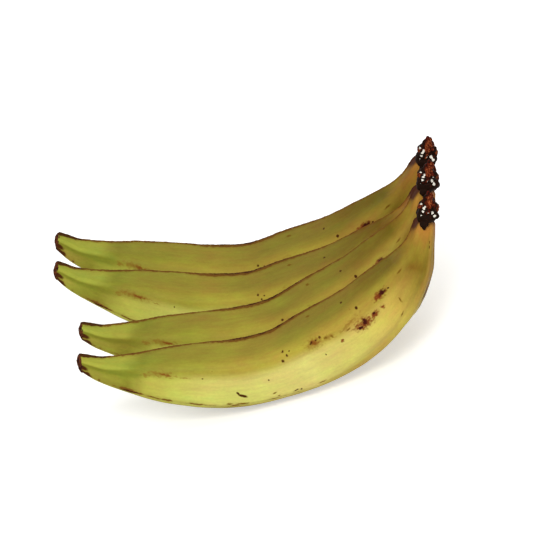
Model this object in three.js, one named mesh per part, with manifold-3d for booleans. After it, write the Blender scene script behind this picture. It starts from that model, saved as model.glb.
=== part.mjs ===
// A hand of four baby bananas, lying on its bellies as it rests on a table.
// Millimetres, +Z up, +X towards the crown, -Y towards the front banana.
// The origin is on the table, under the middle of the hand.

import * as THREE from "three";
import { mergeVertices } from "three/addons/utils/BufferGeometryUtils.js";
import Module from "manifold-3d";

const wasm = await Module();
wasm.setup();

// ---------------------------------------------------------------- driving dimensions

// The four bananas lie side by side in upright planes, and their necks draw together at the crown.
const BODY_SPACING = 23.1;
const NECK_SPACING = 11;

// How the hand leans as it comes to rest, in degrees: the crown sinks towards the table.
const REST_ROLL = 2.1;
const REST_PITCH = 17.1;

// One banana, from its neck to its blossom end, in its own upright plane. "along" runs
// away from the crown, "drop" is how far the middle line has come down from the neck,
// and "half" is half the height of the fruit there.
const STATIONS = [
  { along: 1.2, drop: 0, half: 3.6 },
  { along: 2.7, drop: 7.4, half: 4.9 },
  { along: 5.8, drop: 15.5, half: 7.7 },
  { along: 12.1, drop: 25.2, half: 10.7 },
  { along: 20.6, drop: 34.6, half: 12.2 },
  { along: 33.6, drop: 43.3, half: 12.5 },
  { along: 46.5, drop: 49.8, half: 11.5 },
  { along: 59.3, drop: 53.1, half: 11.3 },
  { along: 72.1, drop: 54.0, half: 10.6 },
  { along: 84.9, drop: 53.9, half: 8.9 },
  { along: 94.5, drop: 53.1, half: 6.5 },
  { along: 103.7, drop: 51.7, half: 4.4 },
  { along: 110.3, drop: 49.5, half: 2.9 },
];

// The share of a banana's length over which its neck is drawn out of its own plane.
const DRAWN_SHARE = 0.34;

// Over the last of its length a banana's end face tilts, so that its upper side reaches
// further than its lower side: the share at which that starts, and the rise of the tilt.
const TILTED_FROM = 0.93;
const TIP_TILT = 0.4;

// Each banana, from the front of the hand to the back: the place at which its own plane
// would end its neck, how far its tip is turned up and splayed to the back about that place,
// in degrees, how much longer it has grown than the first one, and the height at which the
// crown holds its neck.
const BANANAS = [
  { bodyForward: 0, bodyHeight: 1.3, turnUp: 0, splay: 0, growth: 1, neckHeight: -7.6 },
  { bodyForward: 0, bodyHeight: 1.5, turnUp: 0, splay: 0, growth: 1, neckHeight: -2.1 },
  { bodyForward: -0.7, bodyHeight: -10.5, turnUp: 9.2, splay: 4.3, growth: 1.016, neckHeight: -7.2 },
  { bodyForward: -0.7, bodyHeight: -10.9, turnUp: 9.2, splay: 4.3, growth: 1.018, neckHeight: -1.7 },
];

// The five flat sides of the peel: the way each faces, in degrees up from the front, and
// how far it lies from the middle line, as a share of half the height.
const SIDES = [
  { faces: 69, distance: 0.9 },
  { faces: -2.5, distance: 0.8 },
  { faces: -70, distance: 0.92 },
  { faces: -140, distance: 0.84 },
  { faces: 145, distance: 0.8 },
];
const RIDGE_SHARPNESS = 11;

// The dried flower at each tip: its length, and its width at even steps, as shares of the tip's.
const STUB_LENGTH = 1.1;
const STUB_SHARES = [0.86, 0.8, 0.5];

// One knob of the crown as turned, in pairs of radius and height above its foot, how much
// deeper it is than it is wide, how far in front of the neck its foot stands, and how far its
// peak leans forwards for each unit of height.
const KNOB_OUTLINE = [
  [0, 0],
  [3.2, 0],
  [3.7, 1.8],
  [3.8, 4.0],
  [3.1, 6.4],
  [1.9, 8.4],
  [0.8, 9.8],
  [0, 10.2],
];
const KNOB_DEPTH = 1.4;
const KNOB_FORWARD = 0.4;
const KNOB_LEAN = 0.14;

// The woody pad that joins the knobs: half its width, length and height, and how far in
// front of their feet and above them its middle lies.
const PAD_HALF_SIZE = [2.9, 21, 6.4];
const PAD_FORWARD = 1.0;
const PAD_RISE = 4.6;

// Rows and sides of the meshes.
const BANANA_ROWS = 36;
const BANANA_SIDES = 20;
const STUB_SIDES = 12;
const KNOB_SIDES = 16;
const PAD_SIDES = 24;

// The gap between pieces that touch.
const GAP = 0.3;

// ---------------------------------------------------------------- materials

const peel = new THREE.MeshStandardMaterial({ color: 0xb5a544, roughness: 0.5, metalness: 0 });
const driedFlower = new THREE.MeshStandardMaterial({ color: 0x5a3222, roughness: 0.8, metalness: 0 });
const driedCrown = new THREE.MeshStandardMaterial({ color: 0x2a1a14, roughness: 0.35, metalness: 0 });

// ---------------------------------------------------------------- shared shapes

/** A closed straight bar along Y, of radius 1 and length 1, in rows that can be moved. */
function straightBar(rows, sides) {
  const outline = [new THREE.Vector2(0, 0)];
  for (let row = 0; row <= rows; row += 1) outline.push(new THREE.Vector2(1, row / rows));
  outline.push(new THREE.Vector2(0, 1));
  return new THREE.LatheGeometry(outline, sides);
}

/** Moves each vertex of a straight bar to place(share along it, share out from its axis, angle round it). */
function reshaped(bar, place) {
  const position = bar.getAttribute("position");
  for (let i = 0; i < position.count; i += 1) {
    const [across, along, away] = [position.getX(i), position.getY(i), position.getZ(i)];
    const spot = place(along, Math.hypot(across, away), Math.atan2(across, away));
    position.setXYZ(i, spot.x, spot.y, spot.z);
  }
  bar.deleteAttribute("normal");
  bar.deleteAttribute("uv");
  return mergeVertices(bar, 1e-4);
}

/** The solid that a closed geometry bounds. */
function solidOf(geometry) {
  const merged = mergeVertices(geometry, 1e-4);
  const vertProperties = merged.getAttribute("position").array;
  const triVerts = new Uint32Array(merged.index.array);
  return new wasm.Manifold(new wasm.Mesh({ numProp: 3, vertProperties, triVerts }));
}

/** The geometry of a solid's surface. */
function geometryOf(solid) {
  const mesh = solid.getMesh();
  return new THREE.BufferGeometry()
    .setAttribute("position", new THREE.BufferAttribute(mesh.vertProperties, 3))
    .setIndex(new THREE.BufferAttribute(mesh.triVerts, 1));
}

// ---------------------------------------------------------------- one banana

/** A banana's middle line, with half its height as the third coordinate. */
function middleLineOf(growth) {
  return new THREE.CatmullRomCurve3(
    STATIONS.map(({ along, drop, half }) => new THREE.Vector3(-along * growth, -drop, half)),
  );
}

/** A middle line at a share of its length: the spot, the way it runs, and half the height there. */
function lineAt(middleLine, share) {
  const { x, y: z, z: half } = middleLine.getPoint(share);
  const tangent = middleLine.getTangent(share);
  const run = Math.hypot(tangent.x, tangent.y);
  return { x, z, half, forward: tangent.x / run, rise: tangent.y / run };
}

/** The spot that lies a radius out from the middle line at an angle round it, and some way past it. */
function spotRound({ x, z, forward, rise }, radius, angle, past) {
  const outward = radius * Math.sin(angle);
  return new THREE.Vector3(
    x + outward * rise + past * forward,
    -radius * Math.cos(angle),
    z - outward * forward + past * rise,
  );
}

/** How far the peel stands from the middle line at an angle round it, as a share of half the height. */
function sectionRadius(angle) {
  const total = SIDES.reduce((sum, { faces, distance }) => {
    const lean = Math.cos(angle - THREE.MathUtils.degToRad(faces)) / distance;
    return sum + Math.max(0, lean) ** RIDGE_SHARPNESS;
  }, 0);
  return total ** (-1 / RIDGE_SHARPNESS);
}

/** Where a banana's own plane stands, how it is turned, and how far its neck is drawn out of it. */
function standOf(index) {
  const { bodyForward, bodyHeight, turnUp, splay, neckHeight } = BANANAS[index];
  const row = index - (BANANAS.length - 1) / 2;
  const [pitch, yaw] = [turnUp, -splay].map(THREE.MathUtils.degToRad);
  const turn = new THREE.Quaternion().setFromEuler(new THREE.Euler(0, pitch, yaw, "ZYX"));
  const place = new THREE.Vector3(bodyForward, row * BODY_SPACING, bodyHeight);
  const drawn = new THREE.Vector3(0, row * NECK_SPACING, neckHeight).sub(place);
  drawn.applyQuaternion(turn.clone().invert());
  return { place, turn, drawn };
}

/** How far past the middle line's own end a spot at a radius and angle lies, as the end face tilts. */
function tilted(share, radius, angle) {
  return TIP_TILT * radius * Math.sin(angle) * THREE.MathUtils.smoothstep(share, TILTED_FROM, 1);
}

/** The outside of one banana, grown by a clearance, with its neck's end at the drawn point. */
function bananaGeometry(middleLine, drawn, clearance = 0) {
  return reshaped(straightBar(BANANA_ROWS, BANANA_SIDES), (share, out, angle) => {
    const line = lineAt(middleLine, share);
    const radius = out * (line.half * sectionRadius(angle) + clearance);
    const past = tilted(share, radius, angle) - (share === 0 ? clearance : 0);
    const drawing = 1 - THREE.MathUtils.smoothstep(share, 0, DRAWN_SHARE);
    return spotRound(line, radius, angle, past).addScaledVector(drawn, drawing);
  });
}

/** The dried end of the flower, a short rough stub just clear of the banana's tip. */
function blossomEndGeometry(middleLine) {
  const tip = lineAt(middleLine, 1);
  return reshaped(straightBar(STUB_SHARES.length - 1, STUB_SIDES), (share, out, angle) => {
    const width = STUB_SHARES[Math.round(share * (STUB_SHARES.length - 1))];
    const radius = out * width * tip.half * sectionRadius(angle);
    return spotRound(tip, radius, angle, tilted(1, radius, angle) + GAP + share * STUB_LENGTH);
  });
}

// ---------------------------------------------------------------- the crown

/** One knob of the crown as a solid, standing on the end of a banana's neck. */
function knobSolid(foot) {
  const outline = KNOB_OUTLINE.map(([radius, height]) => new THREE.Vector2(radius, height));
  const knob = new THREE.LatheGeometry(outline, KNOB_SIDES);
  knob.rotateX(Math.PI / 2);
  knob.scale(1, KNOB_DEPTH, 1);
  knob.applyMatrix4(new THREE.Matrix4().makeShear(0, 0, 0, 0, KNOB_LEAN, 0));
  knob.translate(foot.x + KNOB_FORWARD, foot.y, foot.z + GAP);
  knob.deleteAttribute("normal");
  knob.deleteAttribute("uv");
  return solidOf(knob);
}

/** The woody pad that joins the knobs, as a solid cushion along the row of their feet. */
function padSolid(feet) {
  const middle = feet
    .reduce((sum, foot) => sum.add(foot), new THREE.Vector3())
    .divideScalar(feet.length);
  const pad = new THREE.SphereGeometry(1, PAD_SIDES, PAD_SIDES / 2);
  pad.scale(...PAD_HALF_SIZE);
  pad.translate(middle.x + PAD_FORWARD, middle.y, middle.z + PAD_RISE);
  pad.deleteAttribute("normal");
  pad.deleteAttribute("uv");
  return solidOf(pad);
}

/** The crown: its pad and knobs, less the room that the bananas' necks take. */
function crownGeometry(necks) {
  const feet = necks.map(({ middleLine, drawn, matrix }) => {
    const { x, z } = lineAt(middleLine, 0);
    return new THREE.Vector3(x, 0, z).add(drawn).applyMatrix4(matrix);
  });
  const whole = feet.map(knobSolid).reduce((sum, knob) => sum.add(knob), padSolid(feet));
  const crown = necks.reduce((rest, { middleLine, drawn, matrix }) => {
    const grown = bananaGeometry(middleLine, drawn, GAP).applyMatrix4(matrix);
    return rest.subtract(solidOf(grown));
  }, whole);
  return geometryOf(crown);
}

// ---------------------------------------------------------------- the hand

const hand = new THREE.Group();
const necks = BANANAS.map(({ growth }, index) => {
  const middleLine = middleLineOf(growth);
  const { place, turn, drawn } = standOf(index);

  const banana = new THREE.Mesh(bananaGeometry(middleLine, drawn), peel);
  banana.name = `banana_${index + 1}`;
  const blossomEnd = new THREE.Mesh(blossomEndGeometry(middleLine), driedFlower);
  blossomEnd.name = `blossom_end_${index + 1}`;

  const fruit = new THREE.Group();
  fruit.add(banana, blossomEnd);
  fruit.position.copy(place);
  fruit.quaternion.copy(turn);
  fruit.updateMatrix();
  hand.add(fruit);
  return { middleLine, drawn, matrix: fruit.matrix };
});

const crown = new THREE.Mesh(crownGeometry(necks), driedCrown);
crown.name = "crown";
hand.add(crown);

// Lean the hand as it rests, then stand it on the table with the origin under its middle.
hand.rotation.set(
  THREE.MathUtils.degToRad(REST_ROLL),
  THREE.MathUtils.degToRad(REST_PITCH),
  0,
);
const box = new THREE.Box3().setFromObject(hand, true);
const middle = box.getCenter(new THREE.Vector3());
hand.position.set(-middle.x, -middle.y, -box.min.z);

export default hand;
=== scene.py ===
"""A hand of four baby bananas, lying on its bellies on a pale table.

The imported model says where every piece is. The bananas, their dried flower ends and the crown
are modelled again here with a fine surface. They are shaped in millimetres, in the upright
frame that the hand grew in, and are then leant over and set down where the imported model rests.
"""

import logging
import math
import random
from collections.abc import Sequence
from dataclasses import dataclass, field
from enum import Enum
from functools import partial
from typing import Any

import bmesh
import bpy
import numpy as np
from mathutils import Matrix, Vector, noise


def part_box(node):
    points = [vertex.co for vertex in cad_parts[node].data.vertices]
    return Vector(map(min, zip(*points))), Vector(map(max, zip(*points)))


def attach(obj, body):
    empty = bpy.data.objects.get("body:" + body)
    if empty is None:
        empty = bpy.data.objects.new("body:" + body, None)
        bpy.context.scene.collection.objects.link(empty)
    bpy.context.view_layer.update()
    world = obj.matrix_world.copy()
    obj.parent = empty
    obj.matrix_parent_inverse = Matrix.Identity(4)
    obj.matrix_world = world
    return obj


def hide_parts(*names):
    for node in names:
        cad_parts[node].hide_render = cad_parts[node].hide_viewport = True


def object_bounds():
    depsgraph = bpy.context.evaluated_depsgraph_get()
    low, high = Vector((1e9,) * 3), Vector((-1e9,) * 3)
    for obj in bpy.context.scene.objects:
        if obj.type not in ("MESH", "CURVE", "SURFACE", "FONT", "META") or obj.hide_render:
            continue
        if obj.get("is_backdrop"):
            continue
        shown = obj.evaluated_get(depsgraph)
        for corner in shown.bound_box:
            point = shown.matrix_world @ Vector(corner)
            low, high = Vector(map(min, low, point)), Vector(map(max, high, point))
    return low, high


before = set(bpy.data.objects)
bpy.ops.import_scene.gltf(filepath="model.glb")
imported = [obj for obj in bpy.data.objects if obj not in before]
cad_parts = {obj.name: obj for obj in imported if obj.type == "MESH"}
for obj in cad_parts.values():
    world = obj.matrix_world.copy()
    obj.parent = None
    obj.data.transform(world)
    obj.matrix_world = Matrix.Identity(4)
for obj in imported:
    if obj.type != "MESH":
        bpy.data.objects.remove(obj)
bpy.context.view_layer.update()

BODY = "root"

# A millimetre in metres, and how near two places along a banana count as one, in millimetres.
MM = 0.001
CLOSE = 0.01

# What each point of a peel carries: where it would lie if the fruit were straight, the same
# with a shift of its own for each fruit so that no two have the same grain, and how far it
# lies inside a rubbed ridge. All are in millimetres. What runs on into the crown lies below 0
# along the fruit.
STRAIGHT = "straight"
GRAIN = "grain"
RUBBED = "rubbed"

# What each point of the crown carries: how fibrous it is there, how high it lies above the
# foot of the nearest knob in millimetres, and how much painted highlight covers it, pale on
# a raised bump where a glint falls.
TISSUE = "tissue"

log = logging.getLogger("hand_of_bananas")


# ------------------------------------------------------------------ shared helpers


def linear(colour: str) -> tuple[float, float, float, float]:
    """Turns an sRGB hex colour into the linear one that a shader takes.

    Args:
        colour: Six hex digits after a hash sign.

    Returns:
        Linear red, green and blue from 0 to 1, and an alpha of 1.
    """
    channels = [int(colour[i:i + 2], 16) / 255 for i in (1, 3, 5)]
    made = [c / 12.92 if c <= 0.04045 else ((c + 0.055) / 1.055) ** 2.4 for c in channels]
    return (made[0], made[1], made[2], 1.0)


def add_node(
    tree: bpy.types.NodeTree,
    kind: str,
    inputs: dict[str | int, Any] | None = None,
    stops: Sequence[tuple[float, str]] = (),
    **settings: Any,
) -> bpy.types.Node:
    """Adds a node with its settings, values and links.

    Args:
        tree: The node tree that the node goes in.
        kind: The node's type name.
        inputs: For a socket's name or number, a value, an output or the node that feeds it.
        stops: For a colour ramp, each stop's place and hex colour.
        settings: Properties of the node itself.

    Returns:
        The new node.
    """
    node = tree.nodes.new(kind)
    for name, value in settings.items():
        setattr(node, name, value)
    for name, value in (inputs or {}).items():
        sockets = [s for s in node.inputs if s.enabled and s.name == name]
        socket = node.inputs[name] if isinstance(name, int) else sockets[0]
        if isinstance(value, bpy.types.Node):
            value = next(output for output in value.outputs if output.enabled)
        if isinstance(value, bpy.types.NodeSocket):
            tree.links.new(value, socket)
        else:
            socket.default_value = value
    for number, (place, colour) in enumerate(stops):
        elements = node.color_ramp.elements
        stop = elements[number] if number < 2 else elements.new(place)
        stop.position = place
        stop.color = linear(colour)
    return node


def bare_material(name: str) -> bpy.types.Material:
    """Starts a material with nothing in its node tree.

    Args:
        name: The material's name.

    Returns:
        The new material.
    """
    material = bpy.data.materials.new(name)
    material.use_nodes = True
    material.node_tree.nodes.clear()
    return material


def seen_or_mirrored(tree: bpy.types.NodeTree) -> bpy.types.Node:
    """Gives 1 where a thing is looked at, straight or in a gloss, and 0 where it only lights.

    Args:
        tree: The node tree that asks.

    Returns:
        The node that gives it.
    """
    path = add_node(tree, "ShaderNodeLightPath")
    direct = add_node(tree, "ShaderNodeMath", {
        0: path.outputs["Is Camera Ray"], 1: path.outputs["Is Glossy Ray"]}, operation="ADD")
    return add_node(tree, "ShaderNodeMath", {
        0: direct, 1: path.outputs["Is Transmission Ray"]}, operation="ADD", use_clamp=True)


def eased(value: np.ndarray, low: float, high: float) -> np.ndarray:
    """Eases from 0 at low to 1 at high."""
    share = np.clip((value - low) / (high - low), 0, 1)
    return share * share * (3 - 2 * share)


@dataclass(frozen=True)
class Lumps:
    """Soft lumps of one size in a surface.

    Attributes:
        size: How far apart they lie, in the points' unit.
        height: How far they swell the surface at most, and sink it between them.
        squeeze: How the points are squeezed each way, so that the lumps are longer that way.
    """

    size: float
    height: float = 1.0
    squeeze: tuple[float, float, float] = (1.0, 1.0, 1.0)

    def at(self, points: np.ndarray, seed: float = 0.0) -> np.ndarray:
        """How far the surface swells at each point.

        Args:
            points: Points, one a row.
            seed: Moves the pattern, so that each piece has its own.

        Returns:
            The swelling, which is below 0 between the lumps.
        """
        moved = points * self.squeeze / self.size + seed
        return self.height * np.array([noise.noise(Vector(point)) for point in moved])


# ------------------------------------------------------------------ how the hand rests


@dataclass(frozen=True)
class RestPose:
    """How the hand leans from the way it grew once it lies on the table, in degrees.

    Attributes:
        roll: How far it leans about X in the end, which lowers its front.
        pitch: How far it leans about Y before that, which lowers its crown.
    """

    roll: float = 2.1
    pitch: float = 17.1

    def turn(self) -> Matrix:
        """The rotation from the hand's own frame to the table's."""
        roll = Matrix.Rotation(math.radians(self.roll), 3, "X")
        return roll @ Matrix.Rotation(math.radians(self.pitch), 3, "Y")


@dataclass(frozen=True)
class Settling:
    """The move that takes the hand from its own frame, in millimetres, to the table.

    Attributes:
        turn: How the hand leans.
        shift: How far it is moved after that, in metres.
    """

    turn: Matrix
    shift: Vector

    @classmethod
    def onto(cls, pieces: dict[str, bpy.types.Object]) -> "Settling":
        """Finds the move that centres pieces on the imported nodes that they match.

        The part of a neck that runs on inside the crown is left out.

        Args:
            pieces: For each node's name, the banana in the hand's own frame.

        Returns:
            The move.
        """
        turn = RestPose().turn()
        shifts = []
        for node, piece in pieces.items():
            straight = np.zeros(len(piece.data.vertices) * 3)
            piece.data.attributes[STRAIGHT].data.foreach_get("vector", straight)
            outside = straight[::3] >= -CLOSE
            spots = np.array([turn @ vertex.co for vertex in piece.data.vertices])[outside] * MM
            low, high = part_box(node)
            shifts.append(np.array((low + high) / 2) - (spots.min(0) + spots.max(0)) / 2)
        spread = np.ptp(shifts, 0).max() / MM
        log.info("the hand is set down, and its pieces agree on where within %.2f mm", spread)
        return cls(turn, Vector(np.mean(shifts, 0)))

    def matrix(self) -> Matrix:
        """The whole move as one matrix."""
        return Matrix.Translation(self.shift) @ self.turn.to_4x4() @ Matrix.Scale(MM, 4)


# ------------------------------------------------------------------ the banana's shape


@dataclass(frozen=True)
class Station:
    """A place on a banana's middle line, in millimetres from the end of its neck.

    Attributes:
        along: How far it lies from the crown.
        drop: How far the line has come down.
        half: Half the height of the fruit there.
    """

    along: float
    drop: float
    half: float


@dataclass(frozen=True)
class Side:
    """One of the flat sides of the peel.

    Attributes:
        faces: The way it faces, in degrees up from the front.
        distance: How far it lies from the middle line, as a share of half the height.
    """

    faces: float
    distance: float


@dataclass(frozen=True)
class Ridge:
    """A ridge of the peel that is rubbed brown.

    Attributes:
        course: Its angle in degrees up from the front, each with its place along the fruit.
        widths: Half its brown width, each with its place along the fruit, in millimetres.
        proud: How far its corky skin stands out where it is widest, in millimetres.
    """

    course: tuple[tuple[float, float], ...]
    widths: tuple[tuple[float, float], ...]
    proud: float

    def closeness(self, arc: np.ndarray, angle: np.ndarray, radius: np.ndarray) -> np.ndarray:
        """How far inside its brown width each point lies, in millimetres, and below 0 outside.

        Args:
            arc: How far along the fruit each point is.
            angle: The angle round it, in radians up from the front.
            radius: How far the point lies from the middle line.

        Returns:
            The distance from the edge of the brown.
        """
        centre = np.radians(np.interp(arc, *zip(*self.course)))
        away = np.abs((angle - centre + math.pi) % math.tau - math.pi) * radius
        return np.interp(arc, *zip(*self.widths)) - away


@dataclass(frozen=True)
class Rounding:
    """A ridge that is rounder than the others, all along the fruit or only near its neck.

    Attributes:
        angle: Its angle, in degrees up from the front.
        sharpness: How sharp it is there.
        until: How far along the fruit it stays so round, in millimetres: if not given, past
            the tip.
        gone: Where it has become as sharp as the others.
        width: How far round the fruit it reaches, in degrees to either side.
    """

    angle: float
    sharpness: float
    until: float = 200
    gone: float = 201
    width: float = 26


@dataclass(frozen=True)
class Dent:
    """A shallow dent in the peel.

    Attributes:
        arc: How far its middle lies from the end of the neck, in millimetres along the fruit.
        angle: How far round the fruit it lies, in degrees up from the front.
        length: Half its length, in millimetres.
        reach: How far round the fruit it reaches, in degrees to either side.
        depth: Its depth, in millimetres.
    """

    arc: float
    angle: float
    length: float
    reach: float
    depth: float

    def depth_at(self, arc: np.ndarray, angle: np.ndarray) -> np.ndarray:
        """How deep it is at each point of the peel, in millimetres.

        Args:
            arc: How far along the fruit each point is.
            angle: The angle round it, in radians up from the front.

        Returns:
            The depth, which is 0 past its rim.
        """
        along, across = (arc - self.arc) / self.length, np.degrees(angle) - self.angle
        return self.depth * (1 - eased(np.hypot(along, across / self.reach), 0, 1))


@dataclass(frozen=True)
class TipFurrow:
    """The furrow along the front and the back of the tapered tip, with a raised rim over it.

    Attributes:
        deepens: Where it starts and where it is deepest, in millimetres along the fruit.
        fades: Where it starts to fade and where it is gone.
        angle: How far up from the front, or the back, it runs, in degrees.
        width: How far it reaches to either side, in degrees.
        depth: Its depth, in millimetres.
        rim_angle: How far up the rim runs, in degrees.
        rim_width: How far the rim reaches to either side, in degrees.
        rim_height: How far the rim stands out, in millimetres.
    """

    deepens: tuple[float, float] = (115, 121)
    fades: tuple[float, float] = (130, 135)
    angle: float = 12
    width: float = 17
    depth: float = 0.5
    rim_angle: float = 44
    rim_width: float = 14
    rim_height: float = 0.12

    def swelling(self, arc: np.ndarray, angle: np.ndarray) -> np.ndarray:
        """How far it swells the peel at each point, in millimetres.

        Args:
            arc: How far along the fruit each point is.
            angle: The angle round it, in radians up from the front.

        Returns:
            The swelling, which is below 0 in the furrow.
        """
        swell = np.zeros_like(arc)
        for side in (0, math.pi):
            turn = np.abs((angle - side + math.pi) % math.tau - math.pi)
            up = np.degrees(np.where(np.sin(angle) > 0, turn, -turn))
            furrow = np.exp(-((up - self.angle) / self.width) ** 2)
            rim = np.exp(-((up - self.rim_angle) / self.rim_width) ** 2)
            swell += self.rim_height * rim - self.depth * furrow
        return swell * eased(arc, *self.deepens) * (1 - eased(arc, *self.fades))


class SmoothLine:
    """A smooth line through points, with its bends eased where the points lie close."""

    def __init__(self, points: Sequence[Sequence[float]]) -> None:
        """Keeps the points, and adds one beyond each end.

        Args:
            points: The points that the line runs through.
        """
        inner = np.array(points, float)
        first, last = 2 * inner[0] - inner[1], 2 * inner[-1] - inner[-2]
        self.points = np.vstack([first, inner, last])

    def at(self, share: np.ndarray) -> tuple[np.ndarray, np.ndarray]:
        """Finds spots on the line and the way it runs there.

        Args:
            share: How far along the line each spot is, from 0 to 1.

        Returns:
            The spots, and the line's direction at each.
        """
        spans = len(self.points) - 3
        span = np.clip((share * spans).astype(int), 0, spans - 1)
        rest = (share * spans - span)[:, None]
        before, start, end, after = (self.points[span + step] for step in range(4))
        gaps = [
            np.sqrt(np.linalg.norm(b - a, axis=1))[:, None]
            for a, b in ((before, start), (start, end), (end, after))
        ]
        leave = (start - before) / gaps[0] - (end - before) / (gaps[0] + gaps[1])
        leave = (leave + (end - start) / gaps[1]) * gaps[1]
        arrive = (end - start) / gaps[1] - (after - start) / (gaps[1] + gaps[2])
        arrive = (arrive + (after - end) / gaps[2]) * gaps[1]
        bend = -3 * start + 3 * end - 2 * leave - arrive
        twist = 2 * start - 2 * end + leave + arrive
        spots = start + rest * (leave + rest * (bend + rest * twist))
        runs = leave + rest * (2 * bend + rest * 3 * twist)
        return spots, runs


@dataclass(frozen=True)
class FruitShape:
    """The form that every banana of the hand shares, in millimetres.

    Attributes:
        stations: The places that its middle line runs through, from the neck to the tip.
        sides: The flat sides of the peel.
        ridges: The rubbed ridges: on top, low on the front, under the belly and on the back.
        ridge_sharpness: How sharp a ridge is, as the power that joins two flat sides.
        roundings: The ridges that are rounder than that.
        drawn_share: The share of the length over which the necks are drawn together.
        tilted_from: The share of the length from which the fruit's sections tilt.
        tip_tilt: How far the top of the last section reaches past its middle, as a share of
            how far it lies over it.
        waves: The unevenness of the whole peel.
        cork_height: How far the cork of a ridge stands out on average, as a share of the most.
        cork: How much that varies.
        cork_edge: How far inside a ridge's brown width the cork starts and is full.
        scurf: The roughness close to a ridge.
        scurf_edge: How far inside the brown width the roughness starts and is full.
        dents: The shallow dents.
        furrow: The furrow along the tip.
        run_on_share: The share of the length that the line runs on before the neck's end.
        steps: How many steps the length of the line is measured in.
    """

    stations: tuple[Station, ...] = (
        Station(1.2, 0, 3.6),
        Station(2.7, 7.4, 4.9),
        Station(5.8, 15.5, 7.7),
        Station(12.1, 25.2, 10.7),
        Station(20.6, 34.6, 12.2),
        Station(33.6, 43.3, 12.5),
        Station(46.5, 49.8, 11.5),
        Station(59.3, 53.1, 11.3),
        Station(72.1, 54.0, 10.6),
        Station(84.9, 53.9, 8.9),
        Station(94.5, 53.1, 6.5),
        Station(103.7, 51.7, 4.4),
        Station(110.3, 49.5, 2.9),
    )
    sides: tuple[Side, ...] = (
        Side(69, 0.9),
        Side(-2.5, 0.8),
        Side(-70, 0.92),
        Side(-140, 0.84),
        Side(145, 0.8),
    )
    ridges: tuple[Ridge, ...] = (
        Ridge(
            course=((0, 96), (20, 99), (95, 100), (110, 100), (127, 97), (131, 91), (135, 89)),
            widths=(
                (0, 0.45), (22, 0.4), (23.5, 0.7), (25, 0.4), (27.5, 0.7), (29, 0.4), (39, 0.5),
                (40, 0.8), (41, 0.6), (50, 0.8), (62, 1.2), (70, 1.35), (84, 1.3), (92, 0.8),
                (96, 0.55), (106, 0.7), (114, 0.8), (126, 0.6), (131, 0.65), (133, 0.95),
                (135.4, 1.0),
            ),
            proud=0.32,
        ),
        Ridge(
            course=((0, -42), (30, -40), (90, -39), (115, -35), (135, -35)),
            widths=(
                (0, -1.2), (56, -1.0), (66, -0.05), (68, 0.3), (70, -0.1), (76, 0.25),
                (79, -0.1), (86, 0.3), (90, 0.0), (98, 0.3), (104, 0.05), (107, 0.45), (112, 0.25),
                (115, 0.1), (117, 0.5), (120, 0.7), (122.5, 0.3), (125.5, -0.2), (128, -0.2),
                (128.7, 0.4), (129.4, -0.2), (131.5, 0.3), (132.5, 0.7), (135.4, 0.6),
            ),
            proud=0.12,
        ),
        Ridge(
            course=((0, -90), (30, -90), (50, -99), (135, -100)),
            widths=((0, 0.1), (14, 0.3), (18, 0.9), (26, 0.9), (30, 0.2), (50, -0.2), (135, 0.1)),
            proud=0.1,
        ),
        Ridge(
            course=((0, -174), (135, -175)),
            widths=((0, 0.2), (40, 0.1), (60, 0.35), (90, 0.3), (110, 0.1), (124, 0.5), (135, 0.6)),
            proud=0.15,
        ),
    )
    ridge_sharpness: float = 11
    roundings: tuple[Rounding, ...] = (Rounding(40, 6), Rounding(-40, 3.5, 38, 80))
    drawn_share: float = 0.34
    tilted_from: float = 0.93
    tip_tilt: float = 0.4
    waves: tuple[Lumps, ...] = (Lumps(13, 0.28, (0.6, 1, 1)), Lumps(4.5, 0.07))
    cork_height: float = 0.6
    cork: Lumps = Lumps(0.9, 0.4)
    cork_edge: tuple[float, float] = (-0.4, 0.7)
    scurf: Lumps = Lumps(2.2, 0.09)
    scurf_edge: tuple[float, float] = (-1.2, 0.2)
    dents: tuple[Dent, ...] = (Dent(32, -88, 3.5, 36, 0.9), Dent(37, -90, 14, 48, 1.0))
    furrow: TipFurrow = TipFurrow()
    run_on_share: float = -0.05
    steps: int = 2100

    def line(self, growth: float = 1) -> SmoothLine:
        """The middle line in its upright plane, with half the height as its third number."""
        return SmoothLine([(-s.along * growth, -s.drop, s.half) for s in self.stations])

    def arc(self, share: np.ndarray) -> np.ndarray:
        """How far along the fruit each spot of the middle line is.

        Args:
            share: How far along the line each spot is, as a share.

        Returns:
            The length of the line from the neck's end to each spot, in millimetres.
        """
        shares = np.linspace(self.run_on_share, 1, self.steps + 1)
        spots, _ = self.line().at(shares)
        lengths = np.linalg.norm(np.diff(spots[:, :2], axis=0), axis=1)
        arcs = np.concatenate([[0], np.cumsum(lengths)])
        return np.interp(share, shares, arcs) - np.interp(0, shares, arcs)

    def section(self, angle: np.ndarray, arc: np.ndarray) -> np.ndarray:
        """How far the peel stands from the middle line, as a share of half the height.

        Args:
            angle: Angles round the line, in radians up from the front.
            arc: How far along the fruit each of them is.

        Returns:
            The share at each angle.
        """
        sharpness = np.full_like(angle, self.ridge_sharpness)
        for soft in self.roundings:
            away = (np.degrees(angle) - soft.angle + 180) % 360 - 180
            near = np.exp(-((away / soft.width) ** 2)) * (1 - eased(arc, soft.until, soft.gone))
            sharpness -= (self.ridge_sharpness - soft.sharpness) * near
        total = np.zeros_like(angle)
        for side in self.sides:
            lean = np.cos(angle - math.radians(side.faces)) / side.distance
            total += np.maximum(lean, 0) ** sharpness
        return total ** (-1 / sharpness)

    def rubbed(self, arc: np.ndarray, angle: np.ndarray, radius: np.ndarray) -> np.ndarray:
        """How far inside the nearest rubbed ridge each point lies, in millimetres."""
        return np.max([ridge.closeness(arc, angle, radius) for ridge in self.ridges], axis=0)

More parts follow.
